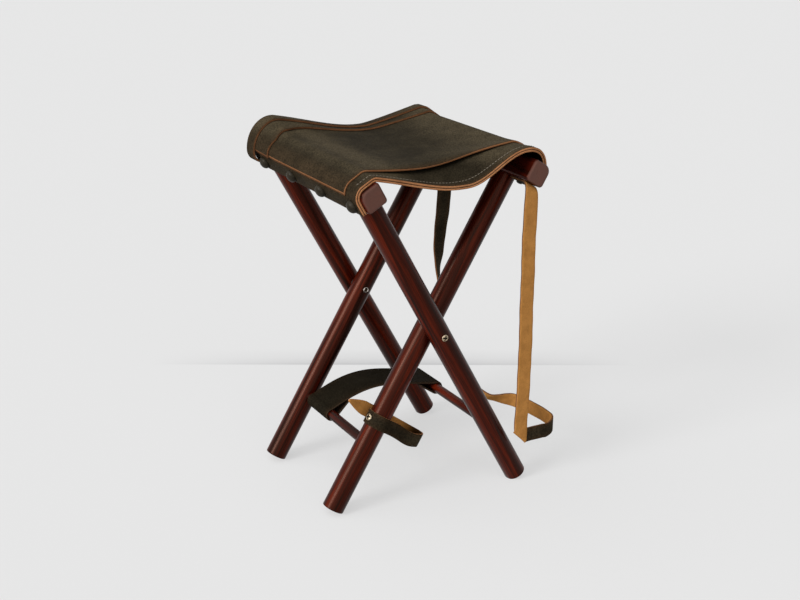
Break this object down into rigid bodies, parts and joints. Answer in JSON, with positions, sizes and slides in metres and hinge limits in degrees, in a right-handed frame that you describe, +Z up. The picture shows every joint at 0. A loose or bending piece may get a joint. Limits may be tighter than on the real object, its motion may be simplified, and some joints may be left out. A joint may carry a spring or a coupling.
{
  "type": "folding stool",
  "caption": "Folding stool of two crossing dowel frames on one pivot axis, with a nailed leather sling seat, a carry strap, a closing strap and a spreader strap.",
  "frame": {"origin": "on the floor, at the centre of the base of the stool's box without its carry strap", "axes": "+Z up, +X from the left rail to the right rail, +Y from the front to the back along the rails"},
  "size_m": [0.3283, 0.293, 0.4627],
  "materials": {
    "wood": "dark red-brown satin varnish",
    "leather": "dark olive-brown grain, tan raw edges, golden flesh side",
    "steel": "pale plated metal",
    "dark_nail": "blackened, satin",
    "fibre": "plain dark fibre"
  },
  "bodies": {
    "outer_frame": {"leg_front_outer": "wood", "leg_rear_outer": "wood", "rail_left": "wood", "stretcher_outer": "wood", "pivot_bolt_front": "steel", "pivot_bolt_rear": "steel", "pivot_nut_front": "steel", "pivot_nut_rear": "steel", "pivot_washer_front": "fibre", "pivot_washer_rear": "fibre", "sling_lower": "leather", "sling_upper": "leather", "seat_panel": "leather", "rear_strip": "leather", "rear_band": "leather", "nail_left_1": "dark_nail", "nail_left_2": "dark_nail", "nail_left_3": "dark_nail", "nail_left_4": "dark_nail", "spreader_strap": "leather"},
    "inner_frame": {"leg_front_inner": "wood", "leg_rear_inner": "wood", "rail_right": "wood", "stretcher_inner": "wood", "nail_right_1": "dark_nail", "nail_right_2": "dark_nail", "nail_right_3": "dark_nail", "nail_right_4": "dark_nail", "carry_strap": "leather", "carry_nail_front": "dark_nail", "carry_nail_rear": "dark_nail", "closing_strap": "leather", "closing_screw": "steel"}
  },
  "joints": [
    {"name": "fold", "type": "hinge", "parent": "outer_frame", "child": "inner_frame", "pos_m": [-0.0015, 0, 0.2257], "axis": [0, -1, 0], "range_deg": [0, 48], "deforming": ["sling_lower", "sling_upper", "seat_panel", "rear_strip", "rear_band", "spreader_strap", "closing_strap"]}
  ]
}
